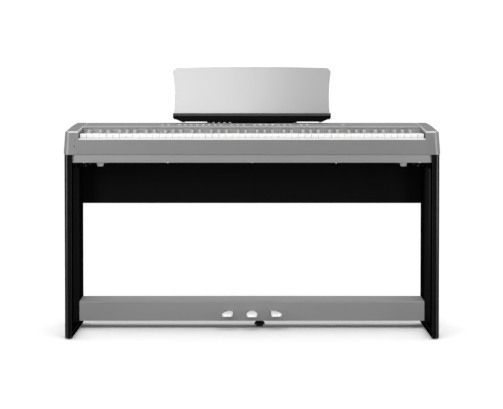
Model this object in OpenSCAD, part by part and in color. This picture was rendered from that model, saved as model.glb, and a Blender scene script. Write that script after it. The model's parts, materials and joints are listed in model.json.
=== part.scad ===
// Digital piano with 88 keys on a panel-leg stand with a three-pedal box.
// Millimetres, +Z up, front towards -Y. The origin is on the floor, under the middle of the object.
// Inside the modules, y is measured back from the front plane; placed() moves it to the origin.

/* [Keyboard] */
// Width of one white key with its gap
white_pitch = 23.6; // [23.5:0.05:23.6]
// Gap between neighbouring keys
key_gap = 1.0; // [0.9:0.05:1.1]
// Distance from the front plane to the front of the white keys
key_front = 25; // [25:0.5:27]
// Width of a black key at its base
sharp_w = 11; // [10:0.1:11]
// Length of a white key that can be seen
key_length = 146; // [145:0.5:146]

/* [Piano body] */
// Depth of the body
body_d = 360; // [360:0.5:362]
// Half of the body's width at its lower edge
body_half_w = 670.5; // [670:0.5:671]
// Thickness of the moulded walls
wall = 3; // [2.6:0.1:3]
// Height of the key slip above the lower edge of the body
slip_h = 58; // [57.5:0.5:58.5]
// Height of the body's rear edge above its lower edge
rear_h = 105; // [104.5:0.5:106]
// Height of the lower case
tray_h = 28.5; // [28:0.5:29]

/* [Music rest] */
// Angle by which the rest panel leans back
rest_lean = 13; // [10:0.5:13]
// Half of the ledge's width
ledge_half_w = 296.5; // [290:0.5:300]
// Height of the rest panel along its slope
rest_panel_h = 203; // [150:1:205]

/* [Stand] */
// Height of the leg tops, which carry the body
leg_top = 659; // [644:1:674]
// Depth of a leg from front to back
leg_d = 378; // [378:0.5:382]
// Thickness of the leg boards
leg_t = 26; // [25:0.5:26]
// Depth of the front post of a leg
post_d = 53; // [45:1:58]
// Height of the lower edge of the back panel
back_panel_z = 459; // [430:1:500]

/* [Pedals] */
// Distance of the outer pedals from the middle one
pedal_pitch = 91; // [88:0.5:92]
// Distance from the front plane to the tips of the pedals
pedal_tip = 139; // [136:1:150]
// Thickness of a pedal
pedal_t = 8; // [7:0.5:8]

/* [Hidden] */
$fn = 64;
// A length past both faces of what a cutter goes through
over = 1;

// Colours
body_colour = "#8c8c8c";
panel_colour = "#949494";
stand_colour = "#141414";
steel_colour = "#b8babd";

// Body: heights
body_z = leg_top;
slip_z = body_z + slip_h;
rear_z = body_z + rear_h;
tray_z = body_z - tray_h;
nose_z = rear_z - 8;
block_front_z = rear_z - 22;
// Body: plan
fall_y = 175;
block_w = 54;
inner_half_w = body_half_w - block_w;
side_tilt = 4;
corner_r = 20;
leg_x = body_half_w - 3.5;
leg_inner = leg_x - leg_t;
tray_half_w = leg_inner - 2;
tray_front = 2;
tray_rear = body_d - 2;
tray_bevel = 11;
nose_y = fall_y - 3;
nose_bevel = 5.5;
edge_bevel = 5;
side_bevel = 5.5;
inner_bevel = 4;
foot_bevel = 4;
// Height of the sloping top surface at a distance y from the front
function top_z(y) = y < fall_y
    ? block_front_z + (nose_z - block_front_z) * y / fall_y
    : nose_z + (rear_z - nose_z) * (y - fall_y) / (body_d - fall_y);

// Keys: heights
key_top = slip_z + 15.5;
plate_t = 10;
lip_z = key_top - 19;
lip_t = 3;
sharp_top = key_top + 11.5;
stick_top = key_top - plate_t;
stick_z = stick_top - 24;
stick_w = 9;
stick_front = key_front + 15;
stick_rear = key_front + 315;
sharp_front = key_front + 50;
key_rear = key_front + key_length;
pivot_y = 330;
pivot_z = stick_z + 10;
rod_r = 2.5;
rod_gap = 0.08;
// Keys: layout of an octave
octave_w = 7 * white_pitch;
slot_w = octave_w / 12;
first_c = -26 * white_pitch + 2 * white_pitch;
WHITE_PLACE = [0, 0, 1, 1, 2, 3, 3, 4, 4, 5, 5, 6];
SHARPS = [1, 3, 6, 8, 10];
function is_sharp(n) = len([for (s = SHARPS) if (s == n) s]) > 0;
function slot_x(n) = (n + 0.5) * slot_w;
function octave_x(o) = first_c + o * octave_w;
// The octaves, counted from the lowest C, in which key n of the octave exists
function octaves_of(n) = n >= 9 ? [-1:6] : n == 0 ? [0:7] : [0:6];

// Inside the body
chassis_half_w = 611;
tray_floor = tray_z + wall;
rail_top = stick_z - 14;
rear_rail_top = stick_z - 4;
hammer_rail_y = 190;
board_z = nose_z - 14;
board_t = 1.6;
speaker_x = 400;
speaker_y = 265;
speaker_r = 48;
foot_h = 15.5;
FEET = [[-544, 60], [544, 60], [-544, 300], [544, 300]];
SCREWS = [for (x = [-600, -300, 0, 300, 600], y = [30, 330]) [x, y]];
BRACKETS = [[-1, 150], [1, 150], [-1, 300], [1, 300]];
bolt_x = 608;
bolt_r = 3;

// Controls: x of each button, grouped
button_y = 220;
button_r = 4.5;
button_rise = 2.5;
MODE_X = [-330, -308];
SOUND_X = [for (i = [0:7]) -268 + 22 * i];
RHYTHM_X = [-74, -52, -30];
RECORDER_X = [for (i = [0:6]) 10 + 22 * i];
SETTING_X = [182, 204];
POWER_X = [336];
slider_y = 300;
slider_rise = 4.5;
slider_travel = 10;
slider_w = 8;
SLIDER_X = [-175, -144, -123.5, -103, -82];
display_x = 55;
display_y = 262;
display_w = 76;
display_d = 22;

// Sockets
jack_x = -629.5;
jack_r = [1.85, 3.25];
jack_ring_r = [3.4, 5.2];
jack_z = [body_z + 53.4, body_z + 30];
REAR_ROUND = [[380, 2.8, 5], [330, 6.7, 8.5], [275, 3.25, 6.5], [245, 3.25, 6.5]];
rear_socket_z = body_z + 40;
usb_x = 195;

// Music rest
ledge_top = rear_z + 36.4;
ledge_lip_z = rear_z + 18.5;
ledge_z = rear_z + 4.5;
ledge_front = 316;
ledge_rear = 352;
ledge_foot_z = rear_z + 0.3;
ledge_foot_half_w = 169;
ledge_chamfer_half_w = 265;
trough_z = rear_z + 12.4;
tongue_half_w = 155;
tongue_z = rear_z - 22;
panel_foot_y = 328;
rest_t = 3;

// Stand
leg_panel_y = 240;
post_corner_r = 12;
foot_rail_z = 5;
foot_rail_top = 23;
top_rail_z = leg_top - 55;
GLIDES_Y = [20, 189, 358];
back_panel_y = 360;
back_panel_t = 15;
bracket_t = 3;

// Pedal box
box_y = 240;
box_d = 120;
box_z = 30;
box_front_top = 103.5;
box_rear_top = 106.5;
box_wall = 6;
axle_y = 335;
axle_z = 62;
axle_r = 4;
axle_gap = 0.05;
lever_half_w = 9.5;
paddle_half_w = 20;
swell = paddle_half_w - lever_half_w;
PEDAL_X = [-pedal_pitch, 0, pedal_pitch];
paddle_slope = 0.4;
outer_setback = 11;
lever_top = 67;
adjuster_x = 29;
adjuster_y = 315;
adjuster_r = 20;
stud_r = 4;

module placed() translate([0, -leg_d / 2, 0]) children();

// Extrudes an outline drawn in (y, z) along X from x0 to x1
module along_x(x0, x1) translate([x0, 0, 0]) rotate([90, 0, 90]) linear_extrude(x1 - x0) children();

// Extrudes an outline drawn in (x, z) along Y from y0 to y1
module along_y(y0, y1) translate([0, y1, 0]) rotate([90, 0, 0]) linear_extrude(y1 - y0) children();

// A block from its lowest to its highest corner
module block(low, high) translate(low) cube(high - low);

// A cylinder along Y from y0 to y1
module rod_y(x, z, r, y0, y1) translate([x, y0, z]) rotate([-90, 0, 0]) cylinder(r = r, h = y1 - y0);

// A cylinder along X from x0 to x1
module rod_x(y, z, r, x0, x1) translate([x0, y, z]) rotate([0, 90, 0]) cylinder(r = r, h = x1 - x0);

// ---------- Piano body ----------

module tray_outline(inset) {
    half = tray_half_w - inset;
    front = tray_front + inset;
    polygon([
        [-half + tray_bevel, front], [half - tray_bevel, front], [half, front + tray_bevel],
        [half, tray_rear - inset], [-half, tray_rear - inset], [-half, front + tray_bevel]
    ]);
}

module bottom_case() color(panel_colour) placed() difference() {
    translate([0, 0, tray_z]) linear_extrude(tray_h) tray_outline(0);
    translate([0, 0, tray_floor]) linear_extrude(tray_h) tray_outline(wall);
    for (s = [-1, 1])
        translate([s * speaker_x, speaker_y, tray_z - over]) cylinder(r = speaker_r - 6, h = wall + 2 * over);
    for (b = BRACKETS)
        translate([b[0] * bolt_x, b[1], tray_z - over]) cylinder(r = bolt_r + 0.2, h = wall + 2 * over);
}

module slider_slot(x) block([x - 1.8, slider_y - slider_travel - 3, nose_z - 20],
    [x + 1.8, slider_y + slider_travel + 3, rear_z + over]);

module top_cover() color(panel_colour) placed() difference() {
    along_x(-inner_half_w, inner_half_w) polygon([
        [nose_y, nose_z - nose_bevel - 1.5], [nose_y, nose_z - nose_bevel],
        [nose_y + nose_bevel + 2, top_z(nose_y + nose_bevel + 2)],
        [body_d - nose_bevel, top_z(body_d - nose_bevel)], [body_d, rear_z - nose_bevel],
        [body_d, body_z], [body_d - wall, body_z], [body_d - wall, rear_z - nose_bevel - 1],
        [body_d - nose_bevel - 1, top_z(body_d - nose_bevel - 1) - wall],
        [nose_y + nose_bevel + 3, top_z(nose_y + nose_bevel + 3) - wall],
        [nose_y + wall, nose_z - nose_bevel - 1.5]
    ]);
    for (x = concat(MODE_X, SOUND_X, RHYTHM_X, RECORDER_X, SETTING_X, POWER_X))
        translate([x, button_y, board_z]) cylinder(r = button_r + 0.4, h = 30);
    for (x = SLIDER_X) slider_slot(x);
    block([display_x - display_w / 2, display_y - display_d / 2, board_z],
        [display_x + display_w / 2, display_y + display_d / 2, rear_z + over]);
    block([-tongue_half_w - 0.6, 344.4, board_z], [tongue_half_w + 0.6, 350.6, rear_z + over]);
    for (s = REAR_ROUND) rod_y(s[0], rear_socket_z, s[2] + 0.1, body_d - wall - over, body_d + over);
    block([usb_x - 7.1, body_d - wall - over, rear_socket_z - 6.6],
        [usb_x + 7.1, body_d + over, rear_socket_z + 6.6]);
}

module fallboard() color(body_colour) placed() along_x(-inner_half_w, inner_half_w) polygon([
    [fall_y - 1, stick_top + 2], [fall_y - 1, nose_z - nose_bevel - 1.7],
    [fall_y + 14, nose_z - nose_bevel - 1.7], [fall_y + 14, nose_z - nose_bevel - 4.2],
    [fall_y + 2, nose_z - nose_bevel - 4.2], [fall_y + 2, stick_top + 2]
]);

// The outer form of the right end block, drawn smaller all round by inset
module block_form(inset) intersection() {
    translate([body_half_w - inset, 0, body_z - 20]) rotate([0, -side_tilt, 0])
        translate([-block_w - 40, 0, 0]) linear_extrude(200) block_plan(inset);
    along_x(inner_half_w + inset, body_half_w + over) block_profile(inset);
}

module block_plan(inset) {
    width = block_w + 40 + 20 * tan(side_tilt);
    r = corner_r - inset;
    translate([width - corner_r, corner_r]) circle(r);
    translate([0, inset]) square([width - corner_r, body_d - 2 * inset]);
    translate([0, corner_r]) square([width - inset, body_d - inset - corner_r]);
}

module block_profile(inset) polygon([
    [inset, body_z - (inset > 0 ? over : 0)], [inset, block_front_z - edge_bevel],
    [edge_bevel + inset, top_z(edge_bevel) - inset], [fall_y, nose_z - inset],
    [body_d - edge_bevel - inset, top_z(body_d - edge_bevel) - inset],
    [body_d - inset, rear_z - edge_bevel - inset], [body_d - inset, body_z - (inset > 0 ? over : 0)]
]);

// A square prism that takes the top edge at x off along both slopes of the top
module edge_cutter(x, size) {
    front_slope = atan((nose_z - block_front_z) / fall_y);
    rear_slope = atan((rear_z - nose_z) / (body_d - fall_y));
    translate([x, 0, block_front_z]) rotate([front_slope, 0, 0]) rotate([0, 45, 0])
        translate([-size / 2, -over, -size / 2]) cube([size, fall_y + 2 * over, size]);
    translate([x, fall_y, nose_z]) rotate([rear_slope, 0, 0]) rotate([0, 45, 0])
        translate([-size / 2, -over, -size / 2]) cube([size, body_d - fall_y + 3 * over, size]);
}

module right_block() difference() {
    block_form(0);
    block_form(wall);
    edge_cutter(inner_half_w, inner_bevel * sqrt(2));
    edge_cutter(body_half_w - (rear_h - 8) * tan(side_tilt), side_bevel * sqrt(2));
    translate([body_half_w, 0, body_z]) rotate([0, 45, 0])
        cube([foot_bevel * sqrt(2), 3 * body_d, foot_bevel * sqrt(2)], center = true);
}

module left_end_block() color(body_colour) placed() difference() {
    mirror([1, 0, 0]) right_block();
    for (i = [0, 1]) rod_y(jack_x, jack_z[i], jack_ring_r[i] + 0.1, -over, wall + over);
}

module right_end_block() color(body_colour) placed() right_block();

module key_slip() color(body_colour) placed() along_x(-inner_half_w, inner_half_w) polygon([
    [0, body_z], [0, slip_z - 5.4], [5, slip_z], [20, slip_z], [20, slip_z - 16],
    [17, slip_z - 16], [17, slip_z - wall], [wall + 3, slip_z - wall], [wall, slip_z - 8],
    [wall, body_z + wall], [17, body_z + wall], [17, body_z]
]);

// ---------- Keyboard ----------

module chassis_section() {
    translate([32, tray_floor]) square([313, 2]);
    difference() {
        translate([stick_front + 2, tray_floor]) square([26, rail_top - tray_floor]);
        translate([stick_front + 4, tray_floor + 2]) square([22, rail_top - tray_floor - 4]);
    }
    translate([pivot_y - 12, tray_floor]) square([3, rear_rail_top - tray_floor]);
    translate([pivot_y + 9, tray_floor]) square([3, rear_rail_top - tray_floor]);
    translate([pivot_y - 12, rear_rail_top - 3]) square([24, 3]);
}

module rod_support(x, t) block(
    [x - t / 2, pivot_y - 9, rear_rail_top - 1], [x + t / 2, pivot_y + 9, pivot_z + 7]);

module key_chassis() color("#6f7276") placed() difference() {
    union() {
        along_x(-chassis_half_w, chassis_half_w) chassis_section();
        for (o = [0:7]) rod_support(octave_x(o), 1.6);
        for (s = [-1, 1]) rod_support(s * (chassis_half_w - 1), 2);
    }
    rod_x(pivot_y, pivot_z, rod_r + rod_gap, -chassis_half_w - over, chassis_half_w + over);
    for (s = [-1, 1]) block([s * speaker_x - 54, speaker_y - 49, tray_floor - over],
        [s * speaker_x + 54, speaker_y + 49, tray_floor + 2 + over]);
}

module key_pivot_rod() color(steel_colour) placed()
    rod_x(pivot_y, pivot_z, rod_r, -chassis_half_w, chassis_half_w);

module key_felt() color("#7a1f24") placed() {
    block([-chassis_half_w, stick_front + 4, rail_top], [chassis_half_w, stick_front + 26, rail_top + 2.5]);
    block([-chassis_half_w, hammer_rail_y, stick_z - 26],
        [chassis_half_w, hammer_rail_y + 12, stick_z - 23]);
}

module hammer(x) {
    block([x - 2.5, 80, tray_floor + 20], [x + 2.5, 196, tray_floor + 26]);
    block([x - 4.5, 76, tray_floor + 16], [x + 4.5, 112, tray_floor + 30]);
}

module hammer_set() color("#4a4d50") placed() {
    for (n = [0:11], o = octaves_of(n)) hammer(octave_x(o) + slot_x(n));
    block([-chassis_half_w, hammer_rail_y, tray_floor + 2],
        [chassis_half_w, hammer_rail_y + 12, stick_z - 26]);
}

// One white key; low and high say whether a black key stands on each side
module white_key(n, low, high) {
    left = WHITE_PLACE[n] * white_pitch + key_gap / 2;
    right = left + white_pitch - key_gap;
    tail_left = low ? slot_x(n - 1) + sharp_w / 2 + key_gap : left;
    tail_right = high ? slot_x(n + 1) - sharp_w / 2 - key_gap : right;
    notch = sharp_front - key_gap;
    translate([0, 0, stick_top]) linear_extrude(plate_t) polygon([
        [left, key_front], [right, key_front], [right, notch], [tail_right, notch],
        [tail_right, key_rear], [tail_left, key_rear], [tail_left, notch], [left, notch]
    ]);
    block([left, key_front, lip_z], [right, key_front + lip_t, key_top]);
    key_stick(n, stick_front);
}

module key_stick(n, front) difference() {
    block([slot_x(n) - stick_w / 2, front, stick_z], [slot_x(n) + stick_w / 2, stick_rear, stick_top]);
    rod_x(pivot_y, pivot_z, rod_r + rod_gap, slot_x(n) - stick_w, slot_x(n) + stick_w);
}

module black_key(n) {
    top_half_w = sharp_w / 2 - 0.9;
    translate([slot_x(n), 0, 0]) intersection() {
        along_y(sharp_front, key_rear) polygon([
            [-sharp_w / 2, stick_top], [sharp_w / 2, stick_top], [sharp_w / 2, key_top - 1],
            [top_half_w, sharp_top - 1], [top_half_w - 1, sharp_top], [1 - top_half_w, sharp_top],
            [-top_half_w, sharp_top - 1], [-sharp_w / 2, key_top - 1]
        ]);
        along_x(-sharp_w, sharp_w) polygon([
            [sharp_front, stick_top - over], [sharp_front, key_top], [sharp_front + 5, sharp_top - 2],
            [sharp_front + 8, sharp_top], [key_rear, sharp_top], [key_rear, stick_top - over]
        ]);
    }
    key_stick(n, sharp_front + 4);
}

// Every key of pitch n, counted in half steps up from C
module keys(n) placed() for (o = octaves_of(n)) translate([octave_x(o), 0, 0]) {
    low = is_sharp(n - 1) && !(o == -1 && n == 9);
    high = is_sharp(n + 1) && !(o == 7);
    if (is_sharp(n)) color("#a5a49f") black_key(n);
    else color("#f4f4f2") white_key(n, low, high);
}

// ---------- Electronics and controls ----------

module main_circuit_board() color("#2f5d3a") placed() {
    block([-360, 200, board_z], [350, 336, board_z + board_t]);
    block([110, 285, board_z + board_t], [134, 309, board_z + board_t + 2.5]);
    block([160, 290, board_z + board_t], [176, 300, board_z + board_t + 2]);
    for (x = [-300:50:-200]) translate([x, 300, board_z + board_t]) cylinder(r = 4, h = 7);
}

module display() color("#c9c9c6") placed() {
    gap = 0.3;
    surface = top_z(display_y - display_d / 2) + 0.3;
    block([display_x - display_w / 2 + gap, display_y - display_d / 2 + gap, board_z + board_t],
        [display_x + display_w / 2 - gap, display_y + display_d / 2 - gap, surface]);
}

module speaker() rotate_extrude() polygon([
    [speaker_r - 8, 0], [speaker_r, 0], [speaker_r, 3], [speaker_r - 6, 3], [24, 24], [24, 38],
    [0, 38], [0, 18], [14, 18]
]);

module speakers() color("#2a2a2c") placed() for (s = [-1, 1])
    translate([s * speaker_x, speaker_y, tray_floor]) speaker();

module speaker_grilles() color("#3a3b3d") placed() for (s = [-1, 1])
    translate([s * speaker_x, speaker_y, tray_z - 1.5]) difference() {
        cylinder(r = speaker_r - 2, h = 1.5);
        for (i = [-4:4]) {
            half = sqrt(pow(speaker_r - 10, 2) - pow(i * 8, 2));
            translate([-half, i * 8 - 2, -over]) cube([2 * half, 4, 4]);
        }
    }

module headphone_jacks() color("#5b5c5e") placed() for (i = [0, 1]) difference() {
    union() {
        rod_y(jack_x, jack_z[i], jack_ring_r[i], 0, wall + 0.2);
        block([jack_x - 7, wall + 0.2, jack_z[i] - 6], [jack_x + 7, wall + 26, jack_z[i] + 6]);
    }
    rod_y(jack_x, jack_z[i], jack_r[i], -over, wall + 20);
}

module rear_sockets() color("#26272a") placed() {
    for (s = REAR_ROUND) difference() {
        rod_y(s[0], rear_socket_z, s[2], body_d - 18, body_d);
        rod_y(s[0], rear_socket_z, s[1], body_d - 15, body_d + over);
    }
    difference() {
        block([usb_x - 7, body_d - 18, rear_socket_z - 6.5], [usb_x + 7, body_d, rear_socket_z + 6.5]);
        block([usb_x - 4.5, body_d - 15, rear_socket_z - 4.2],
            [usb_x + 4.5, body_d + over, rear_socket_z + 4.2]);
    }
}

module case_feet() color("#8f8f8f") placed() for (p = FEET)
    translate([p[0], p[1], tray_z - foot_h]) cylinder(r1 = 10, r2 = 14, h = foot_h);

module case_screws() color(steel_colour) placed() for (p = SCREWS)
    translate([p[0], p[1], tray_z - 2]) difference() {
        cylinder(r = 3.5, h = 2);
        translate([-0.5, -2.5, -over]) cube([1, 5, 2]);
    }

// A row of round buttons, each with a flange that stays under the cover
module buttons(row) color("#c4c4c2") placed() for (x = row) {
    surface = top_z(button_y);
    translate([x, button_y, board_z + board_t + 1.6])
        cylinder(r = button_r, h = surface + button_rise - board_z - board_t - 1.6);
    translate([x, button_y, surface - 5.2]) cylinder(r = button_r + 1.5, h = 1.5);
}

module mode_buttons() buttons(MODE_X);
module sound_buttons() buttons(SOUND_X);
module rhythm_buttons() buttons(RHYTHM_X);
module recorder_buttons() buttons(RECORDER_X);
module setting_buttons() buttons(SETTING_X);
module power_button() buttons(POWER_X);

// A slider knob on a stem that runs in a slot of the cover
module slider(i) color("#c4c4c2") placed() {
    x = SLIDER_X[i];
    surface = top_z(slider_y + slider_travel + slider_w / 2);
    block([x - slider_w / 2, slider_y - slider_w / 2, surface + 0.8],
        [x + slider_w / 2, slider_y + slider_w / 2, surface + slider_rise]);
    block([x - 1.2, slider_y - 2.5, board_z + 9.5], [x + 1.2, slider_y + 2.5, surface + 1]);
}

module volume_slider() slider(0);
module low_slider() slider(1);
module mid_low_slider() slider(2);
module mid_high_slider() slider(3);
module high_slider() slider(4);

// ---------- Music rest ----------

module rest_ledge() color("#0c0c0d") placed() {
    difference() {
        along_y(ledge_front, ledge_rear) polygon([
            [-ledge_half_w, ledge_top], [ledge_half_w, ledge_top], [ledge_half_w, ledge_lip_z],
            [ledge_chamfer_half_w, ledge_z], [-ledge_chamfer_half_w, ledge_z], [-ledge_half_w, ledge_lip_z]
        ]);
        block([-ledge_half_w - over, ledge_front + 6, trough_z],
            [ledge_half_w + over, ledge_rear - 6, ledge_top + over]);
        along_x(-ledge_half_w - over, ledge_half_w + over) polygon([
            [ledge_front - over, ledge_top - 9.5], [ledge_front, ledge_top - 9.5],
            [ledge_front + 3.5, ledge_top], [ledge_front + 3.5, ledge_top + over],
            [ledge_front - over, ledge_top + over]
        ]);
    }
    for (s = [-1, 1]) translate([s * (ledge_chamfer_half_w - 8), 0, 0])
        block([-6, ledge_front + 2, ledge_z - 2], [6, ledge_front + 14, ledge_z + 1]);
    block([-ledge_foot_half_w, 338, ledge_foot_z], [ledge_foot_half_w, ledge_rear, trough_z]);
    block([-tongue_half_w, 345, tongue_z], [tongue_half_w, 350, trough_z]);
    translate([0, panel_foot_y, trough_z]) rotate([-rest_lean, 0, 0])
        block([-150, rest_t, 0.8], [150, rest_t + 3, 86]);
}

// Half-width of the rest panel from its foot at t = 0 to its corners at t = 1, slightly waisted
function rest_half_w(t) = 295 - 24 * t * (1 - t) + 3 * t;

module rest_panel_outline() {
    top = rest_panel_h;
    rise = 4;
    corner = 18;
    corner_z = top - rise - corner;
    steps = 8;
    side = [for (i = [0:steps]) [rest_half_w(i / steps), i / steps * corner_z]];
    arc = [for (a = [10:10:90]) [rest_half_w(1) - corner + corner * cos(a), corner_z + corner * sin(a)]];
    crown = [for (i = [1:steps]) let (x = (rest_half_w(1) - corner) * (1 - i / steps)) [
        x, top - rise * pow(x / (rest_half_w(1) - corner), 2)]];
    right = concat(side, arc, crown);
    polygon(concat(right, [for (i = [len(right) - 2:-1:0]) [-right[i][0], right[i][1]]]));
}

module rest_panel() color("#d2d2d2") placed()
    translate([0, panel_foot_y, trough_z + 0.8]) rotate([-rest_lean, 0, 0])
        along_y(0, rest_t) rest_panel_outline();

// ---------- Stand ----------

module leg_post() translate([0, 0, foot_rail_top]) linear_extrude(leg_top - foot_rail_top) {
    translate([leg_x - post_corner_r, post_corner_r]) circle(post_corner_r);
    translate([leg_inner, 0]) square([leg_t - post_corner_r, post_d]);
    translate([leg_inner, post_corner_r]) square([leg_t, post_d - post_corner_r]);
}

module leg_panel() along_x(leg_inner, leg_x) {
    translate([leg_panel_y, foot_rail_top]) square([leg_d - leg_panel_y, leg_top - foot_rail_top]);
    translate([post_d, top_rail_z]) square([leg_panel_y - post_d + over, leg_top - top_rail_z]);
}

module leg_foot() translate([0, 0, foot_rail_z]) linear_extrude(foot_rail_top - foot_rail_z) {
    translate([leg_x - post_corner_r, post_corner_r]) circle(post_corner_r);
    translate([leg_inner, 0]) square([leg_t - post_corner_r, leg_d]);
    translate([leg_inner, post_corner_r]) square([leg_t, leg_d - post_corner_r]);
}

module left_leg_post() color(stand_colour) placed() mirror([1, 0, 0]) leg_post();
module right_leg_post() color(stand_colour) placed() leg_post();
module left_leg_panel() color(stand_colour) placed() mirror([1, 0, 0]) leg_panel();
module right_leg_panel() color(stand_colour) placed() leg_panel();
module left_leg_foot() color(stand_colour) placed() mirror([1, 0, 0]) leg_foot();
module right_leg_foot() color(stand_colour) placed() leg_foot();

module back_panel() color("#0f0f10") placed() block(
    [-leg_inner, back_panel_y, back_panel_z], [leg_inner, back_panel_y + back_panel_t, leg_top - 5]);

// An angle bracket on the inside of a leg, under the lower case
module bracket(y) difference() {
    union() {
        block([leg_inner - bracket_t, y - 20, top_rail_z - 2], [leg_inner, y + 20, tray_z]);
        block([bolt_x - 15, y - 20, tray_z - bracket_t], [leg_inner, y + 20, tray_z]);
    }
    translate([bolt_x, y, tray_z - 2 * bracket_t]) cylinder(r = bolt_r + 0.2, h = 3 * bracket_t);
}

module stand_brackets() color("#1b1b1c") placed() for (b = BRACKETS)
    mirror([b[0] < 0 ? 1 : 0, 0, 0]) bracket(b[1]);

module thumb_bolts() color("#3c3d3f") placed() for (b = BRACKETS) translate([b[0] * bolt_x, b[1], 0]) {
    translate([0, 0, tray_z - 18]) cylinder(r = bolt_r, h = 17.8 + wall);
    translate([0, 0, tray_z - 22]) cylinder(r = 6, h = 6);
}

module floor_glides() color("#2a2a2a") placed() for (s = [-1, 1], y = GLIDES_Y)
    translate([s * (leg_x - leg_t / 2), y, 0]) cylinder(r = 7, h = foot_rail_z);

// ---------- Pedals ----------

// Middle of the lever of the pedal at x; the outer levers stand on the inner side of their paddles
function lever_x(x) = x == 0 ? 0 : sign(x) * (abs(x) - 10.5);

module pedal_box() color(body_colour) placed() difference() {
    union() {
        difference() {
            along_x(-leg_inner, leg_inner) polygon([
                [box_y, box_z], [box_y, box_front_top - 4], [box_y + 4, box_front_top],
                [box_y + box_d, box_rear_top], [box_y + box_d, box_z]
            ]);
            along_x(box_wall - leg_inner, leg_inner - box_wall) polygon([
                [box_y + box_wall, box_z + box_wall], [box_y + box_wall, box_front_top - box_wall],
                [box_y + box_d - box_wall, box_rear_top - box_wall],
                [box_y + box_d - box_wall, box_z + box_wall]
            ]);
        }
        for (x = [-120, -46, 46, 120]) block([x - 3, axle_y - 10, box_z], [x + 3, axle_y + 10, axle_z + 10]);
    }
    for (x = PEDAL_X) block([lever_x(x) - lever_half_w - 1, box_y - over, lever_top - 20],
        [lever_x(x) + lever_half_w + 1, box_y + box_wall + over, lever_top + 1]);
    rod_x(axle_y, axle_z, axle_r + axle_gap, -124, 124);
    translate([adjuster_x, adjuster_y, box_z - over]) cylinder(r = stud_r + 0.3, h = box_wall + 2 * over);
}

module pedal_axle() color(steel_colour) placed() rod_x(axle_y, axle_z, axle_r, -123, 123);

// Rises from 0 to 1, straight for a fullness of 0 and as a quarter wave for 1
function swelling(t, fullness) = t + fullness * (sin(90 * t) - t);

// Outline of a pedal in plan: a lever whose paddle swells by low and high, with a blunt round tip
module pedal_plan(low, high, tip, fullness) {
    swell_y = box_y - 2;
    full_y = tip + 22;
    round_y = tip + 16;
    steps = 8;
    flare = [for (i = [0:steps]) let (t = i / steps)
        [swell_y + (full_y - swell_y) * t, swelling(t, fullness)]];
    arc = [for (a = [10:10:80]) [round_y + (tip - round_y) * sin(a), 0.35 + 0.65 * cos(a)]];
    middle = (high - low) / 2;
    half = lever_half_w + (high + low) / 2;
    right = concat([[lever_half_w, axle_y + 9]],
        [for (p = flare) [lever_half_w + high * p[1], p[0]]],
        [for (p = arc) [middle + half * p[1], p[0]]]);
    left = concat([[-lever_half_w, axle_y + 9]],
        [for (p = flare) [-lever_half_w - low * p[1], p[0]]],
        [for (p = arc) [middle - half * p[1], p[0]]]);
    polygon(concat(right, [for (i = [len(left) - 1:-1:0]) left[i]]));
}

// A pedal seen from the side: a level lever, a paddle that slopes down to the tip, and the axle's boss
module pedal_side() {
    bend_y = box_y + 4;
    drop = (bend_y - pedal_tip + over) * tan(paddle_slope);
    polygon([
        [axle_y, lever_top], [bend_y, lever_top], [pedal_tip - over, lever_top - drop],
        [pedal_tip - over, lever_top - drop - pedal_t], [bend_y, lever_top - pedal_t],
        [axle_y, lever_top - pedal_t]
    ]);
    translate([axle_y, axle_z]) circle(8);
}

module pedal(x, low, high, tip, fullness)
    color("#d9dadb") placed() translate([lever_x(x), 0, 0]) difference() {
    intersection() {
        linear_extrude(100) pedal_plan(low, high, tip, fullness);
        along_x(-2 * paddle_half_w, 2 * paddle_half_w) pedal_side();
    }
    rod_x(axle_y, axle_z, axle_r + axle_gap, -lever_half_w - over, lever_half_w + over);
}

module left_pedal() pedal(-pedal_pitch, 2 * swell - 1, 1, pedal_tip + outer_setback, 0.5);
module centre_pedal() pedal(0, swell, swell, pedal_tip, 1);
module right_pedal() pedal(pedal_pitch, 1, 2 * swell - 1, pedal_tip + outer_setback, 0.5);

module adjuster_knob() color("#121213") placed() translate([adjuster_x, adjuster_y, 0]) {
    rotate_extrude() polygon([
        [0, 6], [adjuster_r - 1.5, 6], [adjuster_r, 7.5], [adjuster_r, 9.5], [adjuster_r - 1.5, 12],
        [13.5, 19], [8, 22], [8, 24], [0, 24]
    ]);
    translate([0, 0, 20]) cylinder(r = stud_r, h = 34);
}

module adjuster_pad() color("#1a1a1b") placed() translate([adjuster_x, adjuster_y, 0])
    cylinder(r1 = 12, r2 = 14, h = 5.7);

bottom_case();
top_cover();
fallboard();
left_end_block();
right_end_block();
key_slip();
key_chassis();
key_pivot_rod();
key_felt();
hammer_set();
keys(0);  // keys_c
keys(1);  // keys_c_sharp
keys(2);  // keys_d
keys(3);  // keys_d_sharp
keys(4);  // keys_e
keys(5);  // keys_f
keys(6);  // keys_f_sharp
keys(7);  // keys_g
keys(8);  // keys_g_sharp
keys(9);  // keys_a
keys(10);  // keys_a_sharp
keys(11);  // keys_b
main_circuit_board();
display();
speakers();
speaker_grilles();
headphone_jacks();
rear_sockets();
case_feet();
case_screws();
mode_buttons();
sound_buttons();
rhythm_buttons();
recorder_buttons();
setting_buttons();
power_button();
volume_slider();
low_slider();
mid_low_slider();
mid_high_slider();
high_slider();
rest_ledge();
rest_panel();
left_leg_post();
right_leg_post();
left_leg_panel();
right_leg_panel();
left_leg_foot();
right_leg_foot();
back_panel();
stand_brackets();
thumb_bolts();
floor_glides();
pedal_box();
left_pedal();
centre_pedal();
right_pedal();
pedal_axle();
adjuster_knob();
adjuster_pad();
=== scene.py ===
import json
import math

import bmesh
import bpy
from mathutils import Matrix, Vector

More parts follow.
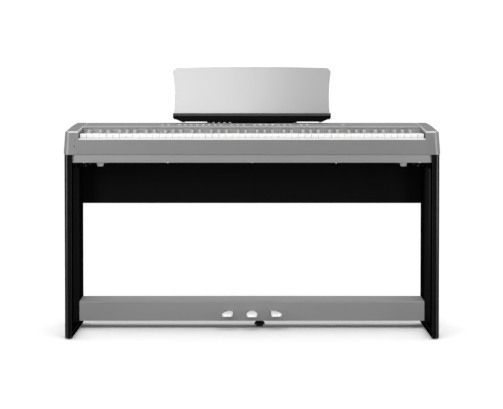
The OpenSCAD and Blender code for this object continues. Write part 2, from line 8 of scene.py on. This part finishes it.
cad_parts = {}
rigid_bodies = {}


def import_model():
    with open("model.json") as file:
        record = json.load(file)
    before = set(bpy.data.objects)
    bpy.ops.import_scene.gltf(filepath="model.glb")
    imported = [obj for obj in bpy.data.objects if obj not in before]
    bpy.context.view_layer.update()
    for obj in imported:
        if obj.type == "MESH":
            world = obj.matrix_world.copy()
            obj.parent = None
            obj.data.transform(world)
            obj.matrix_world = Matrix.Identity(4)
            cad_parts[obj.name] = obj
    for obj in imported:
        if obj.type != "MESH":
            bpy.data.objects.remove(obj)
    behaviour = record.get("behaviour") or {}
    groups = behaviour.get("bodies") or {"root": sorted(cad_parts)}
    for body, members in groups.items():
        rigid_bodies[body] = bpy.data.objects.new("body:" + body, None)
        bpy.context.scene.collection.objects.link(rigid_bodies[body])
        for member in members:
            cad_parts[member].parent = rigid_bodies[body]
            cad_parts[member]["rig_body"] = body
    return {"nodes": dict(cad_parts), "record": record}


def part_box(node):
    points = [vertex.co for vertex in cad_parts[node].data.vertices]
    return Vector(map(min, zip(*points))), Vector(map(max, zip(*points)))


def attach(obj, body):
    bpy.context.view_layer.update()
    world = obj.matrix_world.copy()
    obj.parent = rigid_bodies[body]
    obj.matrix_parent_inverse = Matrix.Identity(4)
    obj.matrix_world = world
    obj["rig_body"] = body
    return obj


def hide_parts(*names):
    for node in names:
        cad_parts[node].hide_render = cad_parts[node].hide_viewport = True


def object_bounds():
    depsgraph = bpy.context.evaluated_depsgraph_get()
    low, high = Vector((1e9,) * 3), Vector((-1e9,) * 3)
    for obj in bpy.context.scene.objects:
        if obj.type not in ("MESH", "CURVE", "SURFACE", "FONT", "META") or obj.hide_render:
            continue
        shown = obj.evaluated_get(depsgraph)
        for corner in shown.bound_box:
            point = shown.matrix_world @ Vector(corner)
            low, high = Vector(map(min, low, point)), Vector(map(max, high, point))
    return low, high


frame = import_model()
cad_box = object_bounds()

MM = 0.001
NODES = frame["nodes"]
ROOT = "piano_and_stand"
FRONT_Y = cad_box[0].y
WHITE_KEYS = ["keys_c", "keys_d", "keys_e", "keys_f", "keys_g", "keys_a", "keys_b"]
BLACK_KEYS = ["keys_c_sharp", "keys_d_sharp", "keys_f_sharp", "keys_g_sharp", "keys_a_sharp"]
BUTTONS = ["mode_buttons", "sound_buttons", "rhythm_buttons", "recorder_buttons", "setting_buttons",
           "power_button"]
SLIDERS = ["volume_slider", "low_slider", "mid_low_slider", "mid_high_slider", "high_slider"]
PEDALS = ["left_pedal", "centre_pedal", "right_pedal"]


# ---------- Camera ----------

CAMERA_DISTANCE = 5.4      # from the object's front
CAMERA_X = -0.0016
CAMERA_HEIGHT = 0.9075
CAMERA_PITCH = 1.6         # degrees below level
CAMERA_LENS_MM = 109
SENSOR_MM = 36
CAMERA_SHIFT = -0.1536     # in widths of the picture


def make_camera():
    """A long lens in front of the keyboard, a little above it, looking slightly down."""
    data = bpy.data.cameras.new("camera")
    data.sensor_width = SENSOR_MM
    data.lens = CAMERA_LENS_MM
    data.shift_y = CAMERA_SHIFT
    data.clip_end = 100
    camera = bpy.data.objects.new("camera", data)
    camera.location = (CAMERA_X, FRONT_Y - CAMERA_DISTANCE, CAMERA_HEIGHT)
    camera.rotation_euler = (math.radians(90 - CAMERA_PITCH), 0, 0)
    bpy.context.scene.collection.objects.link(camera)
    bpy.context.scene.camera = camera


# ---------- Materials ----------

EVEN = (1, 1, 1)


class Paint:
    """A principled material whose nodes are added one by one; patterns use object coordinates."""

    def __init__(self, name, colour, roughness, metallic=0.0, specular=0.5):
        self.material = bpy.data.materials.new(name)
        self.material.use_nodes = True
        self.tree = self.material.node_tree
        self.shader = self.tree.nodes["Principled BSDF"]
        self.colour = (*colour, 1.0)
        self.shader.inputs["Base Color"].default_value = self.colour
        self.shader.inputs["Roughness"].default_value = roughness
        self.shader.inputs["Metallic"].default_value = metallic
        self.shader.inputs["Specular IOR Level"].default_value = specular
        self.material.diffuse_color = self.colour

    def link(self, source, target):
        self.tree.links.new(source, target)

    def node(self, kind, **values):
        """Adds a node and sets its inputs and settings by name."""
        made = self.tree.nodes.new("ShaderNode" + kind)
        for name, value in values.items():
            if name in made.inputs:
                made.inputs[name].default_value = value
            else:
                setattr(made, name, value)
        return made

    def place(self, stretch=EVEN):
        """Object coordinates, scaled along each axis."""
        coordinates = self.node("TexCoord")
        mapping = self.node("Mapping", Scale=stretch)
        self.link(coordinates.outputs["Object"], mapping.inputs["Vector"])
        return mapping.outputs["Vector"]

    def noise(self, scale, detail, stretch=EVEN):
        made = self.node("TexNoise", Scale=scale, Detail=detail)
        self.link(self.place(stretch), made.inputs["Vector"])
        return made.outputs["Fac"]

    def cells(self, scale):
        made = self.node("TexVoronoi", Scale=scale)
        self.link(self.place(), made.inputs["Vector"])
        return made.outputs["Distance"]

    def ranged(self, value, low, high, start=0.0, end=1.0):
        """Stretches a value's run from start to end over low to high."""
        made = self.node("MapRange")
        made.inputs["From Min"].default_value = start
        made.inputs["From Max"].default_value = end
        made.inputs["To Min"].default_value = low
        made.inputs["To Max"].default_value = high
        self.link(value, made.inputs["Value"])
        return made.outputs["Result"]

    def tint(self, value, darker, lighter):
        """Lets the colour run from darker to lighter times its value."""
        mix = self.node("MixRGB")
        for name, factor in (("Color1", darker), ("Color2", lighter)):
            mix.inputs[name].default_value = (*[min(1.0, c * factor) for c in self.colour[:3]], 1.0)
        self.link(value, mix.inputs["Fac"])
        self.link(mix.outputs["Color"], self.shader.inputs["Base Color"])
        return self

    def painted_light_by_normal(self, low, high, factor_low, factor_high, axis="Z"):
        """Paints light and shade into the colour by the way a face turns: multiplies the colour by
        factor_low where the normal leans low along an axis, up to factor_high where it leans high; along
        X the two sides count alike."""
        facing = self.node("SeparateXYZ")
        normal = self.node("TexCoord").outputs["Normal"]
        if axis == "X":
            sides = self.node("VectorMath", operation="ABSOLUTE")
            self.link(normal, sides.inputs[0])
            normal = sides.outputs[0]
        self.link(normal, facing.inputs[0])
        level = self.ranged(facing.outputs[axis], factor_low, factor_high, low, high)
        scale = self.node("VectorMath", operation="SCALE")
        base = self.shader.inputs["Base Color"]
        self.link(base.links[0].from_socket, scale.inputs[0])
        self.link(level, scale.inputs["Scale"])
        self.link(scale.outputs[0], base)
        return self

    def gloss(self, value, low, high):
        """Lets the roughness run from low to high."""
        self.link(self.ranged(value, low, high), self.shader.inputs["Roughness"])
        return self

    def bump(self, value, depth, strength):
        """Raises the surface by up to depth metres."""
        made = self.node("Bump", Strength=strength, Distance=depth)
        self.link(value, made.inputs["Height"])
        before = self.shader.inputs["Normal"]
        if before.is_linked:
            self.link(before.links[0].from_socket, made.inputs["Normal"])
        self.link(made.outputs["Normal"], before)
        return self

    def glancing(self, level):
        """Specular that dies out at glancing angles, as it does on a finely rough surface."""
        facing = self.node("LayerWeight", Blend=0.5)
        fade_start = 0.4
        fade_end = 0.85
        fade = self.ranged(facing.outputs["Facing"], level, 0.0, fade_start, fade_end)
        self.link(fade, self.shader.inputs["Specular IOR Level"])
        return self

    def coat(self, weight, roughness):
        """A clear layer over the colour."""
        self.shader.inputs["Coat Weight"].default_value = weight
        self.shader.inputs["Coat Roughness"].default_value = roughness
        return self


def grey(value, warm=0.0):
    """A linear grey; warm adds a little red and takes a little blue."""
    return (value * (1 + warm), value, value * (1 - warm))


def moulded(name, colour, roughness, grain=1400, depth=0.00002, specular=0.25, painted_light_by_normal=()):
    """Satin moulded plastic: a fine grain, cloudy gloss and a slight cloudiness of colour."""
    paint = Paint(name, colour, roughness, specular=specular).glancing(specular)
    cloud = paint.noise(9, 3)
    paint.tint(cloud, 0.97, 1.03)
    # painted light and shade: each rule brightens or darkens the colour by the way a face turns
    for rule in painted_light_by_normal:
        paint.painted_light_by_normal(*rule)
    paint.gloss(paint.noise(60, 3), roughness - 0.06, roughness + 0.08)
    paint.bump(paint.noise(grain, 2), depth, 0.35)
    return paint.material


def polished(name, colour, roughness):
    """Glossy plastic with a faint waviness under a clear skin."""
    paint = Paint(name, colour, roughness)
    paint.tint(paint.noise(14, 2), 0.985, 1.015)
    paint.gloss(paint.noise(220, 3), roughness, roughness + 0.1)
    paint.bump(paint.noise(30, 1), 0.00005, 0.2)
    paint.coat(0.5, 0.08)
    return paint.material


def laminate(name, colour, roughness, specular, contrast, along=(1, 1, 0.06), painted_light_by_normal=()):
    """Printed laminate on board: long faint grain, pores and an orange-peel surface."""
    paint = Paint(name, colour, roughness, specular=specular).glancing(specular)
    grain = paint.noise(180, 5, along)
    paint.tint(grain, 1 - contrast, 1 + contrast)
    # painted light and shade: each rule brightens or darkens the colour by the way a face turns
    for rule in painted_light_by_normal:
        paint.painted_light_by_normal(*rule)
    paint.gloss(paint.noise(90, 3, along), roughness - 0.05, roughness + 0.07)
    paint.bump(grain, 0.00003, 0.2)
    paint.bump(paint.noise(900, 1), 0.00002, 0.2)
    return paint.material


def lit(name, colour, strength):
    """A lit display window: milky plastic with an uneven glow."""
    paint = Paint(name, colour, 0.3)
    paint.shader.inputs["Emission Color"].default_value = (1, 1, 1, 1)
    paint.shader.inputs["Emission Strength"].default_value = strength
    paint.tint(paint.noise(300, 2), 0.9, 1.0)
    return paint.material


def metal(name, colour, roughness, brushed=EVEN, metallic=1.0, painted_light_by_normal=()):
    """Bare metal with fine brush marks and uneven gloss."""
    paint = Paint(name, colour, roughness, metallic=metallic)
    marks = paint.noise(1200, 4, brushed)
    paint.tint(paint.noise(25, 3), 0.93, 1.05)
    # painted light and shade: each rule brightens or darkens the colour by the way a face turns
    for rule in painted_light_by_normal:
        paint.painted_light_by_normal(*rule)
    paint.gloss(marks, roughness * 0.7, roughness * 1.5)
    paint.bump(marks, 0.00001, 0.3)
    return paint.material


def felt(name, colour):
    """Pressed felt: matted fibres and a soft sheen."""
    paint = Paint(name, colour, 0.95, specular=0.1)
    fibres = paint.noise(900, 6)
    paint.tint(fibres, 0.6, 1.4)
    paint.bump(fibres, 0.0003, 0.7)
    paint.shader.inputs["Sheen Weight"].default_value = 0.4
    return paint.material


def rubber(name, colour, roughness=0.75):
    """Dull rubber or nylon with a fine pitted skin."""
    paint = Paint(name, colour, roughness, specular=0.3)
    paint.tint(paint.noise(40, 4), 0.88, 1.1)
    paint.gloss(paint.noise(150, 3), roughness - 0.1, roughness + 0.1)
    paint.bump(paint.cells(1500), 0.00004, 0.4)
    return paint.material


# A rule of painted light and shade by face direction is low, high, factor_low, factor_high and an axis
# where it isn't Z; it brightens or darkens a colour by the way each face turns.
MATERIALS = {
    # painted highlight on the edges that face up and front, and painted light on the top and side faces
    "case": moulded("case_grey", grey(0.127), 0.4, specular=0.2, painted_light_by_normal=[
        (0.45, 0.65, 1.0, 2.7), (0.78, 0.93, 1.0, 0.6), (0.5, 0.9, 1.0, 1.38, "X")]),
    # painted shade: faces that lean away from straight up, the nose among them, are darkened
    "panel": moulded("panel_grey", grey(0.225), 0.4, specular=0.12, painted_light_by_normal=[(0.8, 0.98, 0.68, 1.0)]),
    # painted light on the end faces and chamfers that turn to the sides
    "tray": moulded("tray_grey", grey(0.158), 0.4, painted_light_by_normal=[(0.4, 0.65, 1.0, 1.8, "X")]),
    "fallboard": moulded("fallboard_grey", grey(0.23), 0.4),
    # painted highlight: a light grey for the strip that stands for the light on the slip's bevel
    "slip_highlight_paint": moulded("slip_highlight_grey", grey(0.37), 0.35),
    "white": polished("key_white", grey(0.76, 0.006), 0.16),
    # painted light on the side and front faces of the sharps
    "sharp": moulded("key_grey", grey(0.23, 0.02), 0.45, grain=2200, painted_light_by_normal=[(0.1, 0.4, 1.45, 1.0)]),
    "control": moulded("control_grey", grey(0.6), 0.4, grain=2500),
    "slider": moulded("slider_grey", grey(0.32), 0.4, grain=2500),
    "rest": moulded("rest_silver", grey(0.275), 0.2, grain=3000, depth=0.00001, specular=0.5),
    # painted shade on the ledge's front and lower faces; the upward lip stays lighter as a painted
    # highlight
    "ledge": moulded("ledge_black", grey(0.045), 0.3, specular=0.02, painted_light_by_normal=[(0.1, 0.3, 0.03, 1.0)]),
    # painted highlight along the rounded vertical corners of the posts and feet, where faces turn partly
    # sideways
    "stand": laminate("stand_laminate", grey(0.0003), 0.18, 0.054, 0.3, painted_light_by_normal=[
        (0.04, 0.12, 1.0, 70.0, "X"), (0.4, 0.6, 1.0, 0.015, "X")]),
    "side": laminate("side_laminate", grey(0.0022), 0.3, 0.022, 0.3),
    "back": laminate("back_laminate", grey(0.0013), 0.5, 0.02, 0.3, along=(0.06, 1, 1)),
    # painted shade on the underside and painted light on the top
    "box": laminate("box_laminate", grey(0.168), 0.45, 0.2, 0.03, along=(0.06, 1, 1),
                    painted_light_by_normal=[(-0.9, -0.5, 0.03, 1.0), (0.5, 0.95, 1.0, 1.6)]),
    # painted light on the faces that turn upward
    "pedal": metal("pedal_metal", grey(0.46), 0.5, brushed=(1, 0.05, 1), metallic=0.35,
                   painted_light_by_normal=[(0.3, 0.95, 1.0, 1.6)]),
    "steel": metal("plain_steel", grey(0.55), 0.3, brushed=(0.05, 1, 1)),
    "chassis": moulded("chassis_paint", grey(0.15), 0.5),
    "hammer": moulded("hammer_plastic", grey(0.06), 0.5),
    "board": polished("circuit_lacquer", (0.015, 0.1, 0.035), 0.3),
    "felt": felt("red_felt", (0.22, 0.012, 0.018)),
    "cone": moulded("speaker_cone", grey(0.02), 0.8),
    "grille": moulded("grille_paint", grey(0.03), 0.5),
    "jack": moulded("jack_plastic", grey(0.19), 0.4),
    "socket": moulded("socket_plastic", grey(0.015), 0.4),
    "contact": metal("contact_metal", grey(0.3), 0.3),
    "foot": rubber("foot_rubber", grey(0.3)),
    "bracket": moulded("bracket_paint", grey(0.003), 0.45, specular=0.08),
    "bolt": metal("blackened_steel", grey(0.012), 0.4),
    "glide": rubber("glide_nylon", grey(0.02), 0.6),
    "adjuster": moulded("adjuster_plastic", grey(0.003), 0.5, specular=0.1),
    "lens": polished("display_lens", grey(0.2), 0.12),
    "segment": lit("display_segment", grey(0.34), 0.06),
}


# ---------- Making pieces ----------

def add_piece(name, mesh, body, material):
    """Puts a mesh in the scene as a piece that rides on a body and takes its finish from a slot."""
    piece = bpy.data.objects.new(name, mesh)
    bpy.context.scene.collection.objects.link(piece)
    mesh.materials.clear()
    mesh.materials.append(MATERIALS[material])
    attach(piece, body)
    return piece


def finished_mesh(name, bm, sharp=30):
    """A mesh shaded smooth, with creases over sharp degrees kept."""
    mesh = bpy.data.meshes.new(name)
    bm.normal_update()
    bm.to_mesh(mesh)
    bm.free()
    mesh.shade_smooth()
    mesh.set_sharp_from_angle(angle=math.radians(sharp))
    return mesh


def node_copy(node):
    """A node's mesh with its flat faces whole again."""
    bm = bmesh.new()
    bm.from_mesh(NODES[node].data)
    bmesh.ops.remove_doubles(bm, verts=bm.verts, dist=0.02 * MM)
    bmesh.ops.dissolve_limit(bm, angle_limit=math.radians(0.4), verts=bm.verts, edges=bm.edges)
    return bm


def rounded(node, material, radius_mm, segments=3, shortest_mm=0, angle=28, sharp=30):
    """Stands for a node: a copy of it, rounded along the edges that are over shortest_mm long and bend
    by over angle degrees. What bends by over sharp degrees is shaded as a crease."""
    bm = node_copy(node)
    weight = bm.edges.layers.float.new("bevel_weight_edge")
    for edge in bm.edges:
        if edge.is_manifold and edge.calc_length() > shortest_mm * MM:
            edge[weight] = float(edge.calc_face_angle() > math.radians(angle))
    mesh = finished_mesh(node + "_shape", bm, sharp)
    piece = add_piece(node + "_shape", mesh, NODES[node]["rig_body"], material)
    bevel = piece.modifiers.new("rounding", "BEVEL")
    bevel.width = radius_mm * MM
    bevel.segments = segments
    bevel.limit_method = "WEIGHT"
    bevel.harden_normals = True
    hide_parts(node)


def repaint(node, material):
    """Gives a node whose shape is right its material."""
    NODES[node].data.materials.clear()
    NODES[node].data.materials.append(MATERIALS[material])


def lathe(bm, profile, at, steps):
    """Turns a profile of (radius, distance) points round the Y axis through at and closes its ends."""
    turn = Matrix.Rotation(math.radians(-90), 3, "X")
    rings = []
    for radius, distance in profile:
        ring = []
        for i in range(steps):
            a = 2 * math.pi * i / steps
            point = Vector((radius * math.cos(a), radius * math.sin(a), distance))
            ring.append(bm.verts.new(at + turn @ point))
        rings.append(ring)
    for low, high in zip(rings, rings[1:]):
        for i in range(steps):
            j = (i + 1) % steps
            bm.faces.new((low[i], low[j], high[j], high[i]))
    bm.faces.new(list(reversed(rings[0])))
    bm.faces.new(rings[-1])


def rounded_box(bm, low, high, radius):
    """A box from corner to corner with every edge rounded."""
    made = bmesh.ops.create_cube(bm, size=1)["verts"]
    centre = (Vector(low) + Vector(high)) / 2
    size = Vector(high) - Vector(low)
    for vert in made:
        vert.co = centre + Vector(a * b for a, b in zip(vert.co, size))
    edges = list({e for v in made for e in v.link_edges})
    bmesh.ops.bevel(bm, geom=edges, offset=radius, segments=2, profile=0.5, affect="EDGES",
                    clamp_overlap=True)


# ---------- Piano body ----------

def make_body():
    rounded("left_end_block", "case", 2.2, shortest_mm=12, angle=20)
    rounded("right_end_block", "case", 2.2, shortest_mm=12, angle=20)
    rounded("key_slip", "case", 0.9, angle=20)
    rounded("fallboard", "fallboard", 0.5)
    rounded("top_cover", "panel", 1.2, shortest_mm=60, angle=12, sharp=3)
    rounded("bottom_case", "tray", 1.6, shortest_mm=60)
    repaint("speakers", "cone")
    rounded("speaker_grilles", "grille", 0.3, segments=1)
    rounded("case_feet", "foot", 1.0, segments=2)
    repaint("key_chassis", "chassis")
    repaint("key_pivot_rod", "steel")
    repaint("key_felt", "felt")
    repaint("hammer_set", "hammer")
    repaint("main_circuit_board", "board")
    rounded("case_screws", "steel", 0.3, segments=1)


def make_slip_highlight_strip():
    """A light strip on the bevel along the top of the key slip: a painted highlight standing for the
    light the bevel catches.
    """
    low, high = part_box("key_slip")
    bevel = 5 * MM
    top = high.z + 0.25 * MM
    inner = 7 * MM
    edge = 0.05 * MM
    thick = MM
    mitre = 0.4 * MM
    end_gap = MM
    bm = bmesh.new()
    section = [(low.y + edge, top - bevel - edge), (low.y + bevel, top), (low.y + inner, top),
               (low.y + inner, top - thick), (low.y + bevel + mitre, top - thick),
               (low.y + edge + thick, top - bevel - edge - mitre)]
    ends = [[bm.verts.new((x, y, z)) for y, z in section] for x in (low.x + end_gap, high.x - end_gap)]
    count = len(section)
    for i in range(count):
        j = (i + 1) % count
        bm.faces.new((ends[0][i], ends[1][i], ends[1][j], ends[0][j]))
    bm.faces.new(ends[0])
    bm.faces.new(list(reversed(ends[1])))
    add_piece("slip_highlight_strip", finished_mesh("slip_highlight_strip", bm), ROOT, "slip_highlight_paint")


def make_keys():
    for node in WHITE_KEYS:
        rounded(node, "white", 0.9, shortest_mm=2)
    for node in BLACK_KEYS:
        rounded(node, "sharp", 0.8, shortest_mm=0.5, angle=20)


def make_controls():
    for node in BUTTONS:
        rounded(node, "control", 0.9)
    for node in SLIDERS:
        rounded(node, "slider", 0.8)
    make_slider_grips()
    rounded("display", "lens", 0.5)
    make_display_segments()


def make_slider_grips():
    """Three ribs across the top of every slider knob."""
    spacing = 2 * MM
    rib = 0.5 * MM
    rise = 0.4 * MM
    side_gap = MM
    for node in SLIDERS:
        low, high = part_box(node)
        centre = (low + high) / 2
        bm = bmesh.new()
        for step in (-1, 0, 1):
            y = centre.y + step * spacing
            rounded_box(bm, (low.x + side_gap, y - rib, high.z - rib),
                        (high.x - side_gap, y + rib, high.z + rise), 0.3 * rib)
        add_piece(node + "_grip", finished_mesh(node + "_grip", bm), NODES[node]["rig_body"], "slider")


def make_display_segments():
    """Three plain lit blocks on the display."""
    low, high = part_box("display")
    third = (high.x - low.x) / 3
    half_w = 0.34 * third
    front_gap = 5 * MM
    rear_gap = 6 * MM
    root = 0.4 * MM
    rise = 1.2 * MM
    bm = bmesh.new()
    for i in range(3):
        x = low.x + (i + 0.5) * third
        rounded_box(bm, (x - half_w, low.y + front_gap, high.z - root),
                    (x + half_w, high.y - rear_gap, high.z + rise), 0.3 * MM)
    add_piece("display_segments", finished_mesh("display_segments", bm), ROOT, "segment")


# ---------- Sockets ----------

ROUND_SOCKETS = ["headphone_socket_large", "headphone_socket_small", "line_out_left", "line_out_right"]
PEDAL_PIN_COUNT = 6
PEDAL_PIN_START = 30    # degrees round the socket
PEDAL_PIN_STEP = 48


def make_sockets():
    rounded("headphone_jacks", "jack", 0.4, segments=2)
    rounded("rear_sockets", "socket", 0.3, segments=2)
    mounts = {m["name"]: m for m in frame["record"]["mounts"]}
    bm = bmesh.new()
    for name in ROUND_SOCKETS:
        add_end_contact(bm, mounts[name])
    add_inlet_pin(bm, mounts["power_inlet"])
    add_pedal_pins(bm, mounts["pedal_socket"])
    add_piece("socket_contacts", finished_mesh("socket_contacts", bm), ROOT, "contact")


def add_end_contact(bm, mount):
    """A round contact at the closed end of a socket's bore."""
    half = MM
    root = 0.3 * MM
    radius = 0.55 * mount["dims"]["r_mm"] * MM
    depth = mount["dims"]["length_mm"] * MM - root
    at = Vector(mount["pos_m"]) - depth * Vector(mount["axis"])
    lathe(bm, [(radius, -half), (radius, half)], at, 24)


def add_inlet_pin(bm, mount):
    """The power inlet's centre pin."""
    radius = MM
    length = 12 * MM
    root = 0.2 * MM
    tip = MM
    at = Vector(mount["pos_m"]) - Vector((0, mount["dims"]["length_mm"] * MM, 0))
    lathe(bm, [(radius, -root), (radius, length - tip), (0.6 * radius, length)], at, 24)


def add_pedal_pins(bm, mount):
    """The ring of pins in the pedal socket, with a gap in it that keys the plug."""
    ring = 0.55 * mount["dims"]["r_mm"] * MM
    radius = 0.7 * MM
    length = 9.8 * MM
    root = 0.2 * MM
    tip = 0.8 * MM
    tip_radius = 0.3 * MM
    depth = mount["dims"]["length_mm"] * MM
    for i in range(PEDAL_PIN_COUNT):
        a = math.radians(PEDAL_PIN_START + PEDAL_PIN_STEP * i)
        at = Vector(mount["pos_m"]) + Vector((ring * math.cos(a), -depth, ring * math.sin(a)))
        lathe(bm, [(radius, -root), (radius, length - tip), (tip_radius, length)], at, 12)


# ---------- Music rest ----------

def make_rest():
    rounded("rest_ledge", "ledge", 0.9, shortest_mm=1.5)
    rounded("rest_panel", "rest", 0.8, angle=40)


# ---------- Stand ----------

def make_stand():
    for side in ("left", "right"):
        rounded(side + "_leg_post", "stand", 1.0, angle=40)
        rounded(side + "_leg_panel", "side", 0.9, angle=40)
        rounded(side + "_leg_foot", "stand", 0.9, angle=40)
    rounded("back_panel", "back", 0.9)
    rounded("stand_brackets", "bracket", 0.5, segments=2, shortest_mm=2)
    rounded("floor_glides", "glide", 0.6, segments=2)
    repaint("thumb_bolts", "bolt")


# ---------- Pedals ----------

def make_pedals():
    rounded("pedal_box", "box", 1.2, shortest_mm=15)
    for node in PEDALS:
        rounded(node, "pedal", 3.4, segments=5, angle=40)
    repaint("pedal_axle", "steel")
    repaint("adjuster_knob", "adjuster")
    repaint("adjuster_pad", "adjuster")


# ---------- Studio ----------

FLOOR_SIZE = 60
WORLD_STRENGTH = 1.09

# Name, place, target, size, radiance, whether it lights surfaces, whether it shows in gloss
SOFTBOXES = [
    ("left_softbox", (-2.9, -2.6, 1.15), (-0.6, 0, 0.6), (2.4, 2.3), 18, False, True),
    ("right_softbox", (2.9, -2.6, 1.15), (0.6, 0, 0.6), (2.4, 2.3), 18, False, True),
    ("top_softbox", (0, 0.2, 3.2), (0, 0, 0.7), (4.0, 2.4), 10, False, True),
    ("rest_softbox", (-1.32, -2.7, 1.9), (0, 0.14, 0.87), (3.0, 1.8), 9.3, False, True),
    ("fill_softbox", (0, -4, 4.2), (0, 0, 0.4), (5.0, 3.0), 3, True, False),
]


def make_floor():
    mesh = bpy.data.meshes.new("floor")
    bm = bmesh.new()
    bmesh.ops.create_grid(bm, x_segments=1, y_segments=1, size=FLOOR_SIZE / 2)
    bm.to_mesh(mesh)
    bm.free()
    floor = bpy.data.objects.new("floor", mesh)
    bpy.context.scene.collection.objects.link(floor)
    paint = Paint("floor_white", grey(0.92), 1.0, specular=0.0)
    paint.tint(paint.noise(0.5, 1), 0.995, 1.005)
    mesh.materials.append(paint.material)


def add_softbox(name, place, target, size, radiance, diffuse, glossy):
    """A rectangular light; diffuse lets it light surfaces and glossy lets it show in gloss."""
    data = bpy.data.lights.new(name, "AREA")
    data.shape = "RECTANGLE"
    data.size, data.size_y = size
    data.energy = radiance * math.pi * size[0] * size[1]
    light = bpy.data.objects.new(name, data)
    light.location = place
    light.rotation_euler = (Vector(target) - Vector(place)).to_track_quat("-Z", "Y").to_euler()
    light.visible_camera = False
    light.visible_diffuse = diffuse
    light.visible_glossy = glossy
    bpy.context.scene.collection.objects.link(light)


def make_lights():
    world = bpy.data.worlds.new("studio")
    bpy.context.scene.world = world
    world.use_nodes = True
    background = world.node_tree.nodes["Background"]
    background.inputs["Color"].default_value = (1, 1, 1, 1)
    background.inputs["Strength"].default_value = WORLD_STRENGTH
    for softbox in SOFTBOXES:
        add_softbox(*softbox)
    bpy.context.scene.view_settings.view_transform = "Standard"


make_camera()
make_floor()
make_lights()
make_body()
make_slip_highlight_strip()
make_keys()
make_controls()
make_sockets()
make_rest()
make_stand()
make_pedals()
